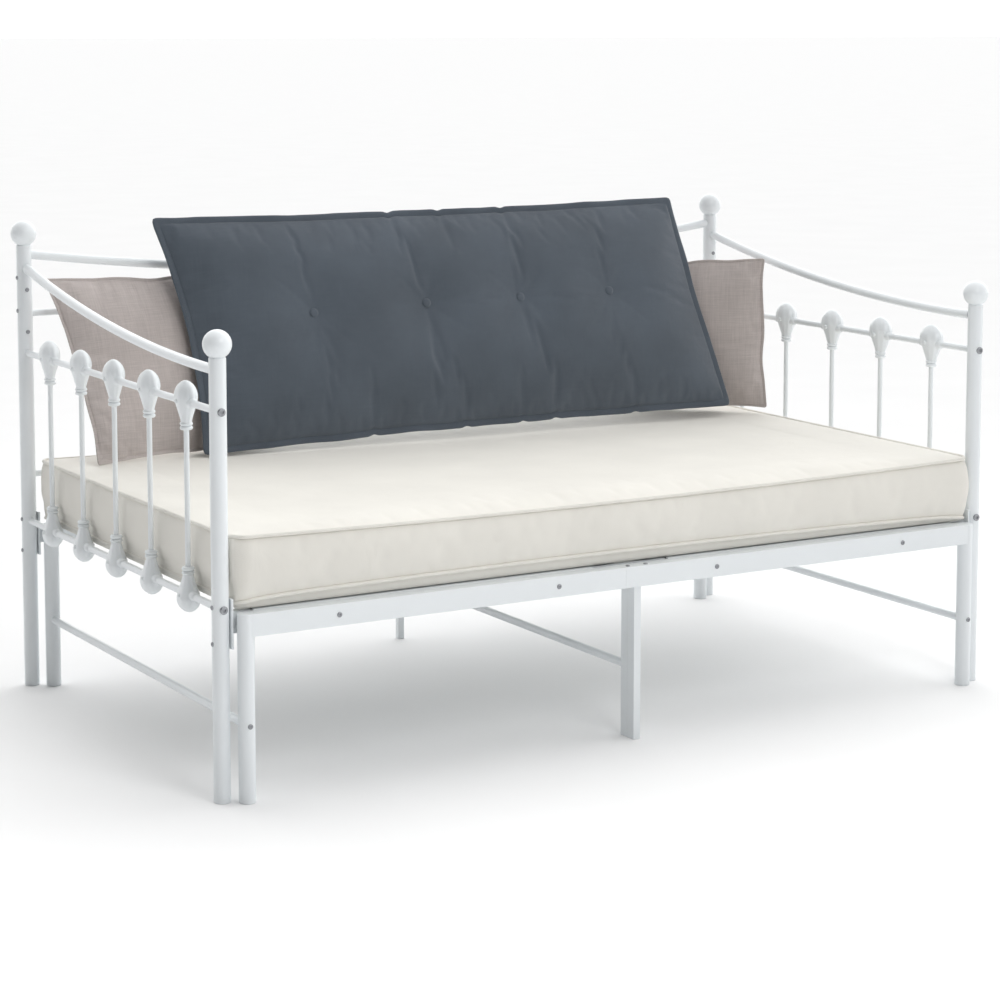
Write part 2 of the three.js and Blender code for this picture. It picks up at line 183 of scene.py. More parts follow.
def rounded(points, radius, steps=4):
    """The profile with each inner corner replaced by a small arc-like curve."""
    out = [Vector(points[0])]
    for before, here, after in zip(points, points[1:], points[2:]):
        before, here, after = Vector(before), Vector(here), Vector(after)
        reach = min(radius, (before - here).length * 0.45, (after - here).length * 0.45)
        start = here + (before - here).normalized() * reach
        end = here + (after - here).normalized() * reach
        for step in range(steps + 1):
            t = step / steps
            out.append(start * (1 - t) ** 2 + here * (2 * t * (1 - t)) + end * t ** 2)
    out.append(Vector(points[-1]))
    return out


def sweep(path, radius, side, sides=24, closed=False):
    """Round bar along a path. side is a direction that the path never runs along."""
    path = [Vector(p) for p in path]
    count = len(path)
    vertices, faces = [], []
    for i, point in enumerate(path):
        after = path[(i + 1) % count] if closed else path[min(i + 1, count - 1)]
        before = path[i - 1] if closed else path[max(i - 1, 0)]
        forward = (after - before).normalized()
        across = (side - forward * side.dot(forward)).normalized()
        up = forward.cross(across)
        for k in range(sides):
            angle = 2 * math.pi * k / sides
            vertices.append(point + radius * (math.cos(angle) * across + math.sin(angle) * up))
    rows = count if closed else count - 1
    for i in range(rows):
        here, there = i * sides, ((i + 1) % count) * sides
        for k in range(sides):
            j = (k + 1) % sides
            faces.append([here + k, here + j, there + j, there + k])
    if not closed:
        faces.append(list(reversed(range(sides))))
        faces.append(list(range((count - 1) * sides, count * sides)))
    return vertices, faces


def skin(across, along, rows):
    """Closed skin of a box of grid cells: a lower sheet, an upper sheet and rows of side cells.

    Returns grid places (i, j, k), faces, and the loop of edge vertices at each level.
    With rows = 0 the two sheets share their edge."""
    index, places, faces = {}, [], []

    def vertex(i, j, k):
        on_edge = i in (0, across) or j in (0, along)
        key = (i, j, 0 if rows == 0 and on_edge else k)
        if key not in index:
            index[key] = len(places)
            places.append((i, j, k if rows or not on_edge else 0.5))
        return index[key]

    top = rows if rows else 1
    for i in range(across):
        for j in range(along):
            corners = [(i, j), (i + 1, j), (i + 1, j + 1), (i, j + 1)]
            faces.append([vertex(a, b, top) for a, b in corners])
            faces.append([vertex(a, b, 0) for a, b in reversed(corners)])
    border = [(i, 0) for i in range(across)] + [(across, j) for j in range(along)]
    border += [(i, along) for i in range(across, 0, -1)] + [(0, j) for j in range(along, 0, -1)]
    for k in range(rows):
        for here, there in zip(border, border[1:] + border[:1]):
            faces.append([vertex(*here, k), vertex(*there, k),
                          vertex(*there, k + 1), vertex(*here, k + 1)])
    return places, faces, [[vertex(i, j, k) for i, j in border] for k in range(top + 1)]


# ---- materials ----
class Paint:
    """A Principled material under construction, with short calls for its nodes."""

    def __init__(self, name, color, roughness, metallic=0.0):
        self.material = bpy.data.materials.new(name)
        self.material.use_nodes = True
        self.tree = self.material.node_tree
        self.shader = self.tree.nodes["Principled BSDF"]
        self.shader.inputs["Base Color"].default_value = (*color, 1)
        self.shader.inputs["Roughness"].default_value = roughness
        self.shader.inputs["Metallic"].default_value = metallic
        self.color = color
        self.coords = self.add("ShaderNodeTexCoord").outputs["Object"]

    def add(self, kind, **settings):
        node = self.tree.nodes.new(kind)
        for key, value in settings.items():
            setattr(node, key, value)
        return node

    def link(self, output, target):
        self.tree.links.new(output, target)

    def stretched(self, scale):
        node = self.add("ShaderNodeMapping")
        node.inputs["Scale"].default_value = scale
        self.link(self.coords, node.inputs["Vector"])
        return node.outputs["Vector"]

    def noise(self, scale, detail=3.0, stretch=None, distortion=0.0):
        node = self.add("ShaderNodeTexNoise")
        node.inputs["Scale"].default_value = scale
        node.inputs["Detail"].default_value = detail
        node.inputs["Distortion"].default_value = distortion
        self.link(self.stretched(stretch) if stretch else self.coords, node.inputs["Vector"])
        return node.outputs["Fac"]

    def bands(self, direction, period, distortion=0.0):
        """Ridges of the given period in metres across one axis."""
        node = self.add("ShaderNodeTexWave", wave_type="BANDS", bands_direction=direction)
        node.inputs["Scale"].default_value = math.pi / (10 * period)
        node.inputs["Distortion"].default_value = distortion
        self.link(self.coords, node.inputs["Vector"])
        return node.outputs["Fac"]

    def math(self, operation, a, b):
        node = self.add("ShaderNodeMath", operation=operation)
        for socket, value in zip(node.inputs, (a, b)):
            if isinstance(value, (int, float)):
                socket.default_value = value
            else:
                self.link(value, socket)
        return node.outputs[0]

    def ranged(self, value, low, high, from_low=0.3, from_high=0.7):
        node = self.add("ShaderNodeMapRange")
        node.inputs["From Min"].default_value = from_low
        node.inputs["From Max"].default_value = from_high
        node.inputs["To Min"].default_value = low
        node.inputs["To Max"].default_value = high
        self.link(value, node.inputs["Value"])
        return node.outputs["Result"]

    def tint(self, factor, dark, light):
        """Colour that runs from dark to light with a 0 to 1 factor."""
        node = self.add("ShaderNodeMix", data_type="RGBA")
        self.link(factor, node.inputs[0])
        node.inputs[6].default_value = (*dark, 1)
        node.inputs[7].default_value = (*light, 1)
        return node.outputs[2]

    def shade(self, factor, spread=0.1):
        """Base colour that varies by the given share either way."""
        dark = [c * (1 - spread) for c in self.color]
        light = [min(1, c * (1 + spread)) for c in self.color]
        self.link(self.tint(factor, dark, light), self.shader.inputs["Base Color"])

    def bump(self, height, distance, strength=1.0, under=None):
        node = self.add("ShaderNodeBump")
        node.inputs["Distance"].default_value = distance
        node.inputs["Strength"].default_value = strength
        self.link(height, node.inputs["Height"])
        if under:
            self.link(under, node.inputs["Normal"])
        return node.outputs["Normal"]

    def surface(self, normal):
        self.link(normal, self.shader.inputs["Normal"])


def white_powder_coat():
    paint = Paint("white_powder_coat", (0.83, 0.865, 0.885), 0.3)
    paint.shader.inputs["Coat Weight"].default_value = 0.2
    paint.shader.inputs["Coat Roughness"].default_value = 0.2
    paint.shade(paint.ranged(paint.noise(5, 3), 0, 1), 0.01)
    paint.link(paint.ranged(paint.noise(25, 3), 0.28, 0.33), paint.shader.inputs["Roughness"])
    paint.surface(paint.bump(paint.noise(900, 2), 0.00002, 0.2))
    return paint.material


def zinc_steel():
    paint = Paint("zinc_steel", (0.36, 0.37, 0.39), 0.42, 0.85)
    paint.shade(paint.ranged(paint.noise(300, 4), 0, 1), 0.18)
    paint.link(paint.ranged(paint.noise(700, 3), 0.32, 0.55), paint.shader.inputs["Roughness"])
    paint.surface(paint.bump(paint.bands("X", 0.0006, 2), 0.00005, 0.5))
    return paint.material


def woven(name, color, roughness, thread, slub, sheen, mottle, relief):
    """Plain-woven cloth in the piece's own X and Z, with thicker slubs along both threads."""
    paint = Paint(name, color, roughness)
    paint.shader.inputs["Sheen Weight"].default_value = sheen
    paint.shader.inputs["Sheen Roughness"].default_value = 0.6
    paint.shader.inputs["Specular IOR Level"].default_value = 0.25
    weft = paint.bands("Z", thread, 0.6)
    warp = paint.bands("X", thread, 0.6)
    weave = paint.math("MAXIMUM", weft, warp)
    cross_slub = paint.noise(1, 3, stretch=(18, 18, 700))
    up_slub = paint.noise(1, 3, stretch=(700, 18, 18))
    slubs = paint.math("ADD", paint.ranged(cross_slub, -slub, slub), paint.ranged(up_slub, -slub, slub))
    tone = paint.math("ADD", paint.ranged(paint.noise(6, 5), 0.5 - mottle, 0.5 + mottle), slubs)
    tone = paint.math("ADD", tone, paint.ranged(weave, -0.1, 0.1, 0, 1))
    paint.shade(tone, 0.2)
    threads = paint.bump(paint.math("ADD", weave, slubs), relief)
    paint.surface(paint.bump(paint.noise(45, 4), 0.0012, 0.25, threads))
    return paint.material


def ticking():
    """Cream mattress cover: a fine twill with faint cloudy tone."""
    paint = Paint("cream_ticking", (0.8, 0.78, 0.725), 0.82)
    paint.shader.inputs["Sheen Weight"].default_value = 0.12
    paint.shader.inputs["Sheen Roughness"].default_value = 0.5
    paint.shader.inputs["Specular IOR Level"].default_value = 0.3
    twill = paint.add("ShaderNodeTexWave", wave_type="BANDS", bands_direction="DIAGONAL")
    twill.inputs["Scale"].default_value = 130
    twill.inputs["Distortion"].default_value = 3
    paint.link(paint.coords, twill.inputs["Vector"])
    cloud = paint.ranged(paint.noise(5, 6), 0.2, 0.8)
    tone = paint.math("ADD", cloud, paint.ranged(twill.outputs["Fac"], -0.06, 0.06, 0, 1))
    paint.shade(tone, 0.05)
    threads = paint.bump(twill.outputs["Fac"], 0.0001, 0.5)
    creases = paint.noise(11, 5, stretch=(1, 1, 0.55), distortion=1.2)
    paint.surface(paint.bump(creases, 0.006, 0.35, threads))
    return paint.material


WHITE = white_powder_coat()
STEEL = zinc_steel()
TICKING = ticking()
SLATE = woven("slate_cotton", (0.083, 0.103, 0.129), roughness=0.9, thread=0.0012,
              slub=0.1, sheen=0.25, mottle=0.3, relief=0.0003)
GREIGE = woven("greige_linen", (0.53, 0.475, 0.455), roughness=0.88, thread=0.0019,
               slub=0.2, sheen=0.2, mottle=0.2, relief=0.0005)


# ---- fixed frame: posts, finials and bent rails ----
def tube_profile(height, foot=0.002, shoulder=0.0015):
    corners = [(0, 0), (POST_R, 0), (POST_R, height), (0, height)]
    bottom = rounded(corners[:3], foot)
    top = rounded(corners[1:], shoulder)
    return bottom[:-1] + top[1:]


def upright(node, body):
    low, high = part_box(node)
    obj = new_object(f"{node}_tube", *lathe(tube_profile(high.z - low.z), 48), WHITE)
    place = centre(node)
    obj.location = (place.x, place.y, low.z)
    return finished(obj, body, "white_metal", node)


def finial(node):
    """Ball on a short collar that plugs into the post."""
    low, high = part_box(node)
    place = Vector((centre(node).x, centre(node).y, high.z - BALL_R))
    neck = 0.0135
    start = -math.acos(neck / BALL_R)
    profile = [(0, low.z - place.z), (neck, low.z - place.z)]
    steps = 28
    for i in range(1, steps + 1):
        tilt = start + (math.pi / 2 - start) * i / steps
        profile.append((BALL_R * math.cos(tilt) if i < steps else 0, BALL_R * math.sin(tilt)))
    collar = rounded([(0, -0.0285), (0.0168, -0.0285), (0.0168, -0.0255), (0, -0.0255)], 0.001)
    obj = new_object(f"{node}_turned", *merged(lathe(profile, 56), lathe(collar, 56)), WHITE)
    obj.location = place
    return finished(obj, "frame", "white_metal", node)


def arm_rail(side):
    node = f"{side}_arm_rail"
    x = SIDES[side]
    front_z, rear_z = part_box(node)[0].z + CURVED_RAIL_R, ARM_REAR_Z
    y0, y1 = FRONT_Y, REAR_Y
    path = []
    steps = 60
    for i in range(steps + 1):
        t = i / steps
        y = y0 + (y1 - y0) * t
        z = front_z + (rear_z - front_z) * t * t
        if y0 + POST_R - EMBED < y < y1 - POST_R + EMBED:
            path.append((x, y, z))
    obj = new_object(f"{node}_bent", *sweep(path, CURVED_RAIL_R, X_AXIS, 28), WHITE)
    return finished(obj, "frame", "white_metal", node)


def top_back_rail():
    climb = TOP_RAIL_END_Z - TOP_RAIL_MIDDLE_Z
    reach = SIDES["right"] - POST_R + EMBED
    path = []
    steps = 90
    for i in range(steps + 1):
        x = -reach + 2 * reach * i / steps
        path.append((x, REAR_Y, TOP_RAIL_MIDDLE_Z + climb * abs(x / SIDES["right"]) ** TOP_RAIL_POWER))
    obj = new_object("top_back_rail_bent", *sweep(path, CURVED_RAIL_R, Y_AXIS, 28), WHITE)
    return finished(obj, "frame", "white_metal", "top_back_rail")


def straight_bar(node, body, radius, side):
    """Round bar in place of a straight rail or brace, along its box's longest side."""
    low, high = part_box(node)
    middle, size = (low + high) / 2, high - low
    along = max(range(3), key=lambda axis: size[axis])
    ends = [middle.copy(), middle.copy()]
    ends[0][along], ends[1][along] = low[along] - EMBED, high[along] + EMBED
    path = [ends[0].lerp(ends[1], t / 8) for t in range(9)]
    obj = new_object(f"{node}_round", *sweep(path, radius, side, 24), WHITE)
    return finished(obj, body, "white_metal", node)


# ---- spindles with their cast ends ----
CASTING = [
    (0, -0.0445), (0.0125, -0.0445), (0.0138, -0.038), (0.0168, -0.028), (0.0202, -0.018),
    (0.0236, -0.008), (0.0264, 0.001), (0.028, 0.009), (0.0276, 0.017), (0.0256, 0.025),
    (0.0222, 0.032), (0.0172, 0.038), (0.0105, 0.0432), (0.0045, 0.0456), (0, 0.046),
]
CASTING_ALONG = 36 / 28
CASTING_ACROSS = 23.5 / 28
LOBES = 10
RING_Z = (-0.0475, -0.0565)
LOWER_TIP = 0.84               # the lower castings' domes are a little flatter


def casting():
    """Upper casting about the rail axis: fluted dome, two bosses, rail cuff and two neck rings."""
    def lobed(angle, height):
        flute = 0.06 * math.exp(-((height - 0.012) / 0.02) ** 2)
        neck = 0.05 * math.exp(-((height + 0.03) / 0.014) ** 2)
        return 1 + (flute + neck) * (abs(math.cos(LOBES * angle / 2)) - 0.55)

    smooth = []
    for (r0, z0), (r1, z1) in zip(CASTING, CASTING[1:]):
        smooth += [(r0 + (r1 - r0) * t / 2, z0 + (z1 - z0) * t / 2) for t in range(2)]
    smooth.append(CASTING[-1])
    body = moved(lathe(smooth, 80, lobed), Matrix.Diagonal((CASTING_ALONG, CASTING_ACROSS, 1, 1)))
    cuff_profile = [(0, -0.043), (0.0092, -0.043), (0.0115, -0.036), (0.0128, -0.02),
                    (0.0128, 0.02), (0.0115, 0.036), (0.0092, 0.043), (0, 0.043)]
    cuff = moved(lathe(rounded(cuff_profile, 0.003), 32), Matrix.Rotation(math.pi / 2, 4, "Y"))
    rings = []
    for height in RING_Z:
        ring = [(0, height - 0.0045), (0.012, height - 0.0045), (0.0148, height),
                (0.012, height + 0.0045), (0, height + 0.0045)]
        rings.append(lathe(rounded(ring, 0.003), 40))
    bosses = []
    for facing in (-1, 1):
        boss = lathe([(0, -0.003), (0.0058, -0.003), (0.0054, 0.0016), (0.0036, 0.0036), (0, 0.0044)], 20)
        turn = Matrix.Rotation(-facing * math.pi / 2, 4, "X")
        bosses.append(moved(boss, Matrix.Translation((0, facing * 0.0218, 0.002)) @ turn))
    return merged(body, cuff, *rings, *bosses)


def spindle(gap, name):
    """Spindle whose lower rail axis is at its origin; its X runs along the rails."""
    upper = moved(casting(), Matrix.Translation((0, 0, gap)))
    lower = moved(casting(), Matrix.Rotation(math.pi, 4, "X"))
    lower = [Vector((v.x, v.y, v.z * LOWER_TIP if v.z < 0 else v.z)) for v in lower[0]], lower[1]
    rod = lathe([(0, 0.05), (SPINDLE_R, 0.05), (SPINDLE_R, gap / 2),
                 (SPINDLE_R, gap - 0.05), (0, gap - 0.05)], 24)
    return new_object(name, *merged(upper, lower, rod), WHITE, 50)


def spindles():
    source = spindle(SIDE_UPPER_Z - SIDE_LOWER_Z, "left_spindle_1_cast")
    for side, x in SIDES.items():
        for i in range(1, 6):
            node = f"{side}_spindle_{i}"
            name = f"{node}_cast"
            obj = source if name == source.name else instance(name, source)
            obj.rotation_euler.z = math.pi / 2
            obj.location = (x, centre(node).y, SIDE_LOWER_Z)
            finished(obj, "frame", "white_metal", node)
    source = spindle(BACK_UPPER_Z - BACK_LOWER_Z, "back_spindle_1_cast")
    for i in range(1, 10):
        node = f"back_spindle_{i}"
        obj = source if i == 1 else instance(f"{node}_cast", source)
        obj.location = (centre(node).x, REAR_Y, BACK_LOWER_Z)
        finished(obj, "frame", "white_metal", node)


# ---- bolt heads ----
def bolt_mesh(name, radius, height, socket_r):
    profile = [(0, -0.002), (radius, -0.002), (radius, height * 0.55), (radius * 0.8, height),
               (socket_r, height), (socket_r, height * 0.3), (0, height * 0.3)]
    return new_object(name, *lathe(profile, 28), STEEL, 30)


def bolts():
    """Bolt heads, each on the face of the tube that it holds."""
    size = {"post": (0.0088, 0.0032, 0.0038), "small": (0.0052, 0.0022, 0.002),
            "rail": (0.0058, 0.0024, 0.0024)}
    places = []
    front, rear, out = -Y_AXIS, Y_AXIS, {"left": -X_AXIS, "right": X_AXIS}
    for side, x in SIDES.items():
        face_x = x + out[side].x * POST_R
        for z in (SIDE_UPPER_Z, SIDE_LOWER_Z):
            places.append(("post", "frame", (x, FRONT_Y - POST_R, z), front))
            places.append(("post", "frame", (x, REAR_Y + POST_R, z), rear))
        for z in DECK_BOLTS_Z:
            places.append(("small", "frame", (face_x, FRONT_Y, z), out[side]))
            places.append(("small", "frame", (face_x, REAR_Y, z), out[side]))
        for z in REAR_OUTER_BOLTS_Z:
            places.append(("small", "frame", (face_x, REAR_Y, z), out[side]))
        for z in REAR_INNER_BOLTS_Z:
            places.append(("small", "frame", (x, REAR_Y - POST_R, z), front))
        leg_x = centre(f"{side}_front_leg").x
        places.append(("rail", "pull_out", (leg_x, LEG_FRONT_Y - POST_R, BRACE_Z), front))
        places.append(("rail", "pull_out", (leg_x, LEG_REAR_Y + POST_R, BRACE_Z), rear))
    rail_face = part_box("left_front_rail")[0].y
    for x in FRONT_RAIL_BOLTS_X:
        places.append(("rail", "pull_out", (x, rail_face, centre("left_front_rail").z), front))
    for x in SEAM_BOLTS_X:
        places.append(("small", "pull_out", (x, rail_face + SEAM_BOLT_SETBACK, RAIL_TOP_Z), Z_AXIS))
    sources = {}
    for number, (kind, body, place, facing) in enumerate(places, 1):
        name = f"bolt_head_{number}"
        if kind in sources:
            obj = instance(name, sources[kind])
        else:
            obj = sources[kind] = bolt_mesh(name, *size[kind])
        obj.matrix_world = Matrix.Translation(place) @ facing.to_track_quat("Z", "Y").to_matrix().to_4x4()
        finished(obj, body, "bolt_steel")


# ---- CAD nodes that keep their shape ----
def keep_cad_nodes():
    """Square rails, the centre leg and the slats keep their solids, with a small bevel."""
    kept = ("fixed_front_deck_rail", "fixed_rear_deck_rail", "left_front_rail", "right_front_rail",
            "sliding_rear_rail", "centre_leg_front_section", "centre_leg_rear_section",
            "centre_rear_leg", "left_fixed_slat_grid", "right_fixed_slat_grid",
            "left_sliding_slat_grid", "right_sliding_slat_grid")
    for node in kept:
        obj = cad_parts[node]
        obj.data.materials.clear()
        obj.data.materials.append(WHITE)
        weld = obj.modifiers.new("weld", "WELD")
        weld.merge_threshold = 1e-5
        flat = obj.modifiers.new("flat_faces", "DECIMATE")
        flat.decimate_type = "DISSOLVE"
        flat.angle_limit = math.radians(1)
        edge = obj.modifiers.new("edge", "BEVEL")
        edge.width = 0.0016
        edge.segments = 3
        edge.limit_method = "ANGLE"
        edge.angle_limit = math.radians(40)


# ---- mattress ----
def squared(a, b):
    """A unit square's place moved onto the unit disc, so that a corner is round."""
    return a * math.sqrt(1 - b * b / 2), b * math.sqrt(1 - a * a / 2)


def rounded_corner(x, y, half_x, half_y, radius):
    a, b = (abs(x) - half_x + radius) / radius, (abs(y) - half_y + radius) / radius
    if a <= 0 or b <= 0:
        return x, y
    a, b = squared(a, b)
    return math.copysign(half_x - radius + a * radius, x), math.copysign(half_y - radius + b * radius, y)


def eased(value, start, limit):
    """The value, slowed beyond start so that it never passes limit."""
    if value <= start:
        return value
    return start + (limit - start) * math.tanh((value - start) / (limit - start))


def mattress():
    """Foam mattress: two piped seams, a border that swells between them and a crowned top."""
    half = (MATTRESS_HIGH - MATTRESS_LOW) / 2
    middle = (MATTRESS_HIGH + MATTRESS_LOW) / 2
    bottom, crown, lip = MATTRESS_LOW.z, CROWN_Z, 0.0062
    corner_r, under, inset = 0.032, 0.012, -0.005
    across, along = 160, 90
    roll_rows, border_rows = 3, 12
    rows = roll_rows + border_rows
    places, faces, loops = skin(across, along, rows)

    def top_seam(x):
        return TOP_SEAM_Z + TOP_SEAM_CLIMB * (x / half.x) ** 2

    def bottom_seam(x, ear):
        share = x / half.x
        return BOTTOM_SEAM_Z - BOTTOM_SEAM_TILT * share - BOTTOM_SEAM_SAG * share ** 2 - EAR_DROP * ear

    points, pinned, away = [], [], []
    for number, (i, j, k) in enumerate(places):
        x, y = half.x * (2 * i / across - 1), half.y * (2 * j / along - 1)
        ear = math.exp(-math.hypot(half.x - abs(x), half.y - abs(y)) / 0.045)
        x, y = rounded_corner(x, y, half.x, half.y, corner_r)
        edge = min(half.x - abs(x), half.y - abs(y))
        dx, dy = abs(x) - half.x + corner_r, abs(y) - half.y + corner_r
        outward = Vector((math.copysign(max(dx, 0), x), math.copysign(max(dy, 0), y)))
        outward = outward.normalized() if outward.length else outward
        away.append(outward)
        push = 0.003 * ear - inset
        if k == rows:
            rise = 1 - math.exp(-edge / 0.07)
            z = top_seam(x) + (crown - top_seam(x)) * rise
            z += rise * 0.0022 * noise.noise(Vector((x * 3.1, y * 3.1, 1.7)))
            push *= 1 - rise
            if edge < 0.0005 or edge > 0.15:
                pinned.append(number)
        elif k <= roll_rows:
            # The front roll hangs a little in front of the slat ends.
            low = bottom - (lip if outward.y < -0.5 and j == 0 else 0)
            turn = k / roll_rows * math.pi / 2
            z = low + (bottom_seam(x, ear) - low) * (1 - math.cos(turn))
            push -= under * (1 - math.sin(turn))
            if k == 0 and j == 1:
                y, push = -half.y, push - 0.0012
            pinned.append(number)
        else:
            t = (k - roll_rows) / border_rows
            z = bottom_seam(x, ear) + (top_seam(x) - bottom_seam(x, ear)) * t
            run = x if abs(outward.y) > 0.5 else y
            pucker = noise.noise(Vector((run * 8 - t * 1.6, outward.x * 3 + outward.y * 5, 0.6 + t)))
            push += (BORDER_SWELL + BORDER_PUCKER * pucker) * math.sin(math.pi * t) ** 0.85
        points.append(Vector((x + outward.x * push, y + outward.y * push, z)))
    points = swollen(points, faces, pinned, pressure=3, frames=14, growth=0.006)
    shaped = []
    for point, outward in zip(points, away):
        # The ends stay clear of the low castings, and swell more above them.
        room = 0.0022 + 0.0098 * min(1, max(0, (point.z - 0.455) / 0.03))
        room -= 0.006 * math.exp(-(half.y - abs(point.y)) / 0.04)
        x = math.copysign(eased(abs(point.x), half.x - 0.002, half.x + room), point.x)
        # Only the front has room to swell: the back spindles stand close behind the rear border.
        if point.y < 0:
            y = -eased(-point.y, half.y + FRONT_SWELL_FROM, half.y + FRONT_SWELL_TO)
        else:
            y = eased(point.y, half.y + REAR_SWELL_FROM, half.y + REAR_SWELL_TO)
        z = point.z if point.z < crown else crown + (point.z - crown) * 0.12
        shaped.append(Vector((middle.x + x, middle.y + y, max(z, bottom - lip))))
    obj = new_object("mattress_cover", shaped, faces, TICKING, 0)
    surface = obj.modifiers.new("smooth", "SUBSURF")
    surface.levels = surface.render_levels = 1
    finished(obj, "mattress", "mattress_fabric", "mattress")
    for name, level in (("lower_piping", roll_rows), ("upper_piping", rows)):
        path = []
        for number in loops[level]:
            outward = away[number]
            on_front = outward.y < -0.5 and abs(outward.x) < 0.5
            stand_off = PIPING_PROUD if on_front else PIPING_SUNK
            path.append(shaped[number] + Vector((outward.x, outward.y, 0)) * stand_off)
        cord = sweep(path, PIPING_R, Z_AXIS, 12, closed=True)
        piping = new_object(f"mattress_{name}", *cord, TICKING, 0)
        finished(piping, "mattress", "mattress_fabric")


# ---- stuffed pads ----
def pad_corners(node):
    """Seam corners of a CAD pad: lower left, lower right, upper right, upper left."""
    seen = []
    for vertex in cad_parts[node].data.vertices:
        if all((vertex.co - other).length > 1e-4 for other in seen):
            seen.append(vertex.co.copy())
    found = []
    for i, one in enumerate(seen):
        for other in seen[i + 1:]:
            if (one - other).length < 0.02:
                found.append((one + other) / 2)
    found.sort(key=lambda point: point.z)
    lower = sorted(found[:2], key=lambda point: point.x)
    upper = sorted(found[2:], key=lambda point: point.x)
    return lower[0], lower[1], upper[1], upper[0]


def swollen(points, faces, pinned, pressure, frames, growth):
    """The closed pair of sheets blown up as cloth, pinned where given. Same order of points."""
    mesh = bpy.data.meshes.new("swelling")
    mesh.from_pydata([tuple(p) for p in points], [], faces)
    obj = bpy.data.objects.new("swelling", mesh)
    bpy.context.scene.collection.objects.link(obj)
    group = obj.vertex_groups.new(name="pinned")
    group.add(pinned, 1.0, "ADD")
    cloth = obj.modifiers.new("cloth", "CLOTH")
    settings = cloth.settings
    settings.quality = 6
    settings.mass = 0.25
    settings.tension_stiffness = 20
    settings.compression_stiffness = 20
    settings.shear_stiffness = 6
    settings.bending_stiffness = 0.4
    settings.air_damping = 2
    settings.use_pressure = True
    settings.uniform_pressure_force = pressure
    settings.shrink_min = -growth
    settings.vertex_group_mass = "pinned"
    settings.effector_weights.gravity = 0
    cloth.point_cache.frame_start = 1
    cloth.point_cache.frame_end = frames
    scene = bpy.context.scene
    for step in range(1, frames + 1):
        scene.frame_set(step)
    result = obj.evaluated_get(bpy.context.evaluated_depsgraph_get())
    moved_points = [v.co.copy() for v in result.data.vertices]
    scene.frame_set(1)
    bpy.data.objects.remove(obj)
    return moved_points


def pad_frame(corners):
    """Right-handed frame of a pad: X to its right, Z up it, Y through it to the back."""
    lower_left, lower_right, upper_right, upper_left = corners
    across = (lower_right + upper_right - lower_left - upper_left).normalized()
    up = upper_left + upper_right - lower_left - lower_right
    up = (up - across * up.dot(across)).normalized()
    back = up.cross(across)
    turn = Matrix((across, back, up)).transposed().to_4x4()
    return Matrix.Translation(sum(corners, Vector()) / 4) @ turn


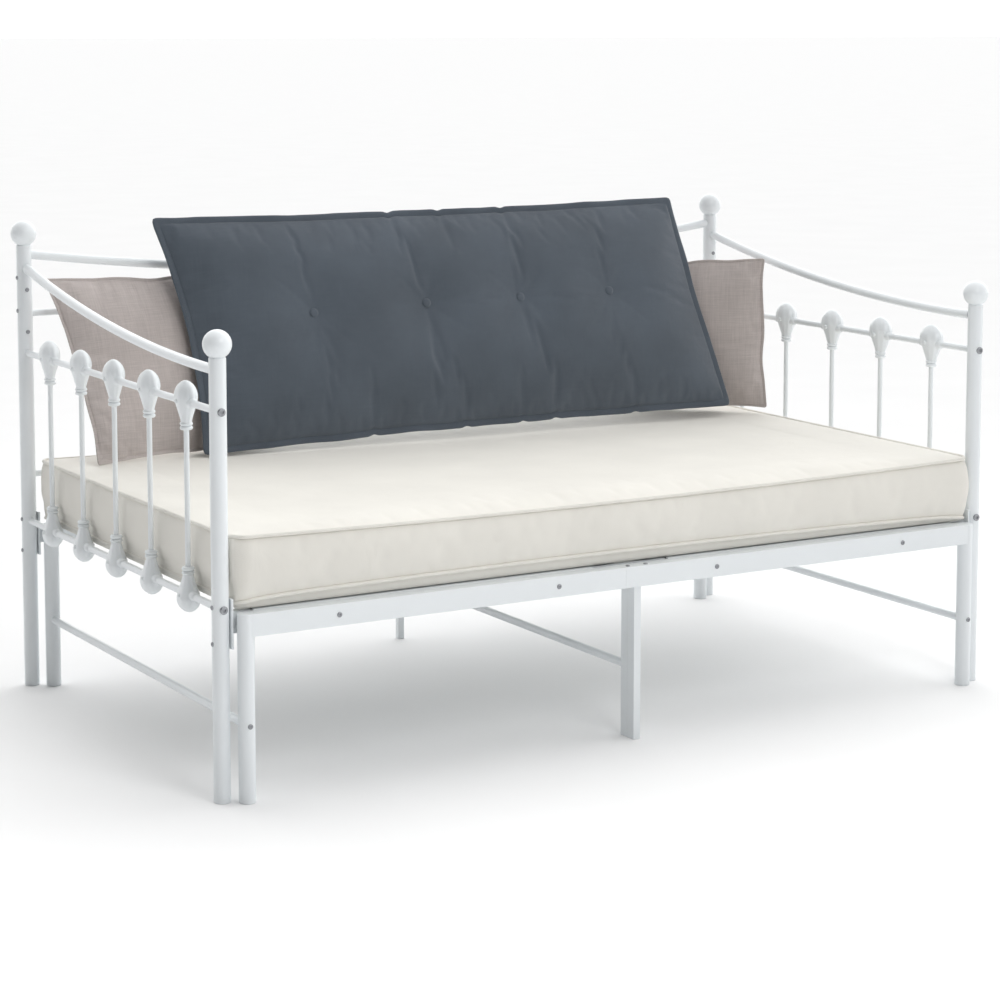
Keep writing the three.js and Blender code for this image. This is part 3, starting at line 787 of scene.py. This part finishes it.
class Pad:
    """Stuffed cushion in its own frame: two sheets sewn round their edge, swollen as cloth."""

    def __init__(self, node, cell, thick, border, pull, pressure, growth, frames,
                 buttons=(), dimple=0.0, tucks=(), seed=0.0, rise=0.0, wave=0.003):
        lower_left, lower_right, upper_right, upper_left = pad_corners(node)
        upper_left += (upper_left - lower_left).normalized() * rise
        upper_right += (upper_right - lower_right).normalized() * rise
        self.corners = lower_left, lower_right, upper_right, upper_left
        self.width = ((lower_right - lower_left).length + (upper_right - upper_left).length) / 2
        self.height = ((upper_left - lower_left).length + (upper_right - lower_right).length) / 2
        self.matrix = pad_frame(self.corners)
        self.inverse = self.matrix.inverted()
        self.normal = self.matrix.to_3x3() @ Y_AXIS
        wide, tall = self.width - 2 * border, self.height - 2 * border
        self.across, self.along = round(wide / cell), round(tall / cell)
        places, faces, loops = skin(self.across, self.along, 0)
        self.faces = [list(reversed(face)) for face in faces]
        self.loop = loops[0]
        self.border_places = [places[number][:2] for number in self.loop]
        start, pinned = [], []
        for number, (i, j, k) in enumerate(places):
            u, v = 2 * i / self.across - 1, 2 * j / self.along - 1
            x, z = u * wide / 2, v * tall / 2
            x -= math.copysign(abs(u) ** 4 * pull[u > 0] * (1 - v * v), u)
            z -= math.copysign(abs(v) ** 4 * pull[2] * (1 - u * u), v)
            wander = noise.noise(Vector((x * 9, z * 9, seed))) * wave
            x += wander * abs(u) ** 4 * (1 - v * v)
            z += noise.noise(Vector((x * 9, z * 5, seed + 4))) * wave * abs(v) ** 4 * (1 - u * u)
            for place, top in tucks:
                notch = math.exp(-((x - place * wide / 2) / 0.007) ** 2) * 0.006
                if (v > 0) == top:
                    z -= math.copysign(abs(v) ** 6 * notch, v)
            depth = thick * 0.42 * (1 - abs(u) ** 8) ** 0.7 * (1 - abs(v) ** 5) ** 0.7
            if k == 0.5:
                depth = 0
                pinned.append(number)
            for bu, bv in buttons:
                away = math.hypot(x - bu * wide / 2, z - bv * tall / 2)
                if k != 0.5 and away < BUTTON_PRESSED_R:
                    depth = thick / 2 - dimple
                    pinned.append(number)
            start.append(Vector((x, (1 - 2 * k) * -depth, z)))
        result = swollen(start, self.faces, pinned, pressure, frames, growth)
        deepest = max(abs(p.y) for p in result)
        flatten = min(1.0, thick / 2 / deepest)
        self.points = [self.settled(p.x, p.y * flatten, p.z) for p in result]
        self.spots = []
        for bu, bv in buttons:
            for facing in (-1, 1):
                near = [p for p in result if p.y * facing > 0
                        and math.hypot(p.x - bu * wide / 2, p.z - bv * tall / 2) < BUTTON_SEAT_R]
                if near:
                    middle = sum(near, Vector()) / len(near)
                    self.spots.append((self.settled(middle.x, middle.y * flatten, middle.z), facing))

    def settled(self, x, y, z):
        """A flat pad place, bent onto the four corners and kept above the mattress."""
        lower_left, lower_right, upper_right, upper_left = self.corners
        u, v = 0.5 + x / self.width, 0.5 + z / self.height
        place = lower_left.lerp(lower_right, u).lerp(upper_left.lerp(upper_right, u), v) + self.normal * y
        place.z = max(place.z, REST_Z + 0.0004 * noise.noise(place * 30))
        return self.inverse @ place

    def outward(self, number):
        """Direction away from the pad in its plane at a seam place, with mitred corners."""
        i, j = self.border_places[number]
        return Vector(((i == self.across) - (i == 0), 0, (j == self.along) - (j == 0)))

    def border(self, width, half_thick, ripple):
        """Flat lip sewn round the seam, with a soft rounded edge and a slight ripple."""
        section = [(-LIP_TUCK, -half_thick * 0.5), (width * 0.05, -half_thick * 0.5),
                   (width * 0.3, -half_thick), (width * 0.85, -half_thick), (width, 0),
                   (width * 0.85, half_thick), (width * 0.3, half_thick),
                   (width * 0.05, half_thick * 0.5), (-LIP_TUCK, half_thick * 0.5)]
        vertices, faces = [], []
        count, rows = len(self.loop), len(section)
        for number, vertex in enumerate(self.loop):
            here = self.points[vertex]
            away = self.outward(number)
            wave = ripple * noise.noise(Vector((here.x * 11, here.z * 11, 3.3)))
            trim = 1 + 0.09 * noise.noise(Vector((here.x * 17, here.z * 17, 8.1)))
            for out, depth in section:
                reach = max(out, 0) / width
                vertices.append(here + away * out * trim + Y_AXIS * (depth + wave * reach))
        for number in range(count):
            here, there = number * rows, ((number + 1) % count) * rows
            for k in range(rows):
                j = (k + 1) % rows
                faces.append([here + j, here + k, there + k, there + j])
        for vertex in vertices:
            world = self.matrix @ vertex
            if world.z < REST_Z:
                world.z = REST_Z
                vertex[:] = self.inverse @ world
        return vertices, faces

    def stitches(self, out, lift, pitch, length, radius):
        """Short thread stitches that follow the seam on both faces."""
        shapes, travelled, due = [], 0.0, 0.0
        count = len(self.loop)
        for number, vertex in enumerate(self.loop):
            here, after = self.points[vertex], self.points[self.loop[(number + 1) % count]]
            span = (after - here).length
            away = self.outward(number)
            while due < travelled + span:
                forward = (after - here).normalized()
                spot = here.lerp(after, (due - travelled) / span) + away * out
                for facing in (-1, 1):
                    rise = Y_AXIS * facing
                    path = [spot + rise * lift * 0.4 - forward * length / 2, spot + rise * lift,
                            spot + rise * lift * 0.4 + forward * length / 2]
                    shapes.append(sweep(path, radius, Y_AXIS, 6))
                due += pitch
            travelled += span
        return merged(*shapes)

    def show(self, name, shape, material, body, slot_name, nodes=(), smooth=0):
        obj = new_object(name, *shape, material, 0)
        obj.matrix_world = self.matrix
        if smooth:
            surface = obj.modifiers.new("smooth", "SUBSURF")
            surface.levels = surface.render_levels = smooth
        return finished(obj, body, slot_name, *nodes)


def back_cushion():
    """Long slate cushion: plump body, stitched lip, one row of covered buttons on each face."""
    spots = ((-0.537, 0.115), (-0.111, 0.125), (0.261, 0.13), (0.62, 0.13))
    tucks = [(-0.145, True), (0.05, True), (0.30, True), (-0.40, False), (-0.05, False), (0.17, False),
             (0.30, False), (0.62, False)]
    pad = Pad("back_cushion", cell=0.0085, thick=0.12, border=0.013, pull=(0.028, 0.006, 0.008),
              pressure=6, growth=0.012, frames=20, buttons=spots, dimple=0.009, tucks=tucks,
              seed=1.0, rise=-0.006)
    look = {"material": SLATE, "body": "back_cushion", "slot_name": "slate_fabric"}
    cover = pad.show("back_cushion_cover", (pad.points, pad.faces), nodes=["back_cushion"],
                     smooth=1, **look)
    lip = pad.border(width=0.013, half_thick=0.0026, ripple=0.004)
    pad.show("back_cushion_lip", lip, smooth=1, **look)
    stitches = pad.stitches(out=0.0028, lift=0.0022, pitch=0.0075, length=0.0048, radius=0.0005)
    pad.show("back_cushion_stitches", stitches, **look)
    dome = [(0, -0.004), (0.0108, -0.004), (0.0126, -0.0005), (0.0122, 0.0018), (0.0095, 0.0038),
            (0.005, 0.0048), (0, 0.005)]
    for number, (spot, facing) in enumerate(pad.spots, 1):
        turn = Matrix.Rotation(-facing * math.pi / 2, 4, "X")
        button = moved(lathe(rounded(dome, 0.0015), 32), Matrix.Translation(spot) @ turn)
        pad.show(f"back_cushion_button_{number}", button, **look)


def pillow(node, thick, pull, seed, rise, wave):
    """Square linen pillow with a narrow turned edge."""
    pad = Pad(node, cell=0.0085, thick=thick, border=0.004, pull=pull, pressure=5, growth=0.04,
              frames=20, seed=seed, rise=rise, wave=wave)
    look = {"material": GREIGE, "body": node, "slot_name": "greige_linen"}
    cover = pad.show(f"{node}_cover", (pad.points, pad.faces), nodes=[node], smooth=1, **look)
    edge = pad.border(width=0.004, half_thick=0.0024, ripple=0.001)
    pad.show(f"{node}_edge", edge, smooth=1, **look)


# ---- studio ----
def studio():
    scene = bpy.context.scene
    camera = bpy.data.objects.new("camera", bpy.data.cameras.new("camera"))
    scene.collection.objects.link(camera)
    scene.camera = camera
    yaw, pitch = math.radians(CAMERA_YAW), math.radians(CAMERA_PITCH)
    camera.location = CAMERA_PLACE
    look = Vector((math.sin(yaw) * math.cos(pitch), math.cos(yaw) * math.cos(pitch), -math.sin(pitch)))
    camera.rotation_euler = look.to_track_quat("-Z", "Y").to_euler()
    camera.data.sensor_width = CAMERA_SENSOR
    camera.data.lens = CAMERA_LENS
    camera.data.shift_y = CAMERA_SHIFT_Y
    scene.view_settings.view_transform = "Standard"

    world = bpy.data.worlds.new("studio")
    scene.world = world
    world.use_nodes = True
    nodes, links = world.node_tree.nodes, world.node_tree.links
    # Bright behind and to the right, dimmer to the left and in front.
    ways = nodes.new("ShaderNodeTexCoord")
    along = nodes.new("ShaderNodeVectorMath")
    along.operation = "DOT_PRODUCT"
    along.inputs[1].default_value = (0.62, 0.7, 0.35)
    links.new(ways.outputs["Generated"], along.inputs[0])
    spread = nodes.new("ShaderNodeMapRange")
    spread.inputs["From Min"].default_value = -0.5
    spread.inputs["From Max"].default_value = 0.85
    spread.inputs["To Min"].default_value = 0.0
    spread.inputs["To Max"].default_value = 1.82
    links.new(along.outputs["Value"], spread.inputs["Value"])
    links.new(spread.outputs["Result"], nodes["Background"].inputs["Strength"])
    nodes["Background"].inputs["Color"].default_value = (1, 1, 1, 1)

    for name, place, aim, size, power in (
        ("key", (-0.3, -3.9, 3.3), (0.1, 0, 0.5), 1.8, 54),
        ("top", (0.3, -0.4, 4.2), (0, 0, 0.5), 4.5, 20),
    ):
        lamp = bpy.data.lights.new(name, "AREA")
        lamp.size = size
        lamp.energy = power
        obj = bpy.data.objects.new(name, lamp)
        scene.collection.objects.link(obj)
        obj.location = place
        obj.rotation_euler = (Vector(aim) - Vector(place)).to_track_quat("-Z", "Y").to_euler()

    floor_paint = Paint("pale_floor", (0.92, 0.92, 0.92), 0.8)
    floor_paint.shade(floor_paint.ranged(floor_paint.noise(2, 4), 0, 1), 0.01)
    half = 400
    floor = new_object("floor", [(-half, -half, 0), (half, -half, 0), (half, half, 0), (-half, half, 0)],
                       [(0, 1, 2, 3)], floor_paint.material)


studio()
for end in ("front", "rear"):
    for side in ("left", "right"):
        upright(f"{end}_{side}_post", "frame")
        finial(f"{end}_{side}_ball_finial")
        upright(f"{side}_{end}_leg", "pull_out")
for side in ("left", "right"):
    arm_rail(side)
    straight_bar(f"{side}_upper_side_rail", "frame", PANEL_RAIL_R, X_AXIS)
    straight_bar(f"{side}_lower_side_rail", "frame", PANEL_RAIL_R, X_AXIS)
    straight_bar(f"{side}_low_brace", "pull_out", BRACE_R, X_AXIS)
straight_bar("upper_back_rail", "frame", PANEL_RAIL_R, Y_AXIS)
straight_bar("lower_back_rail", "frame", PANEL_RAIL_R, Y_AXIS)
straight_bar("centre_low_brace", "pull_out", BRACE_R, X_AXIS)
top_back_rail()
spindles()
bolts()
keep_cad_nodes()
mattress()
back_cushion()
pillow("left_pillow", thick=0.086, pull=(0.02, 0.012, 0.006), seed=5.0, rise=0.01, wave=0.008)
pillow("right_pillow", thick=0.086, pull=(0.012, 0.014, 0.006), seed=9.0, rise=0.004, wave=0.016)
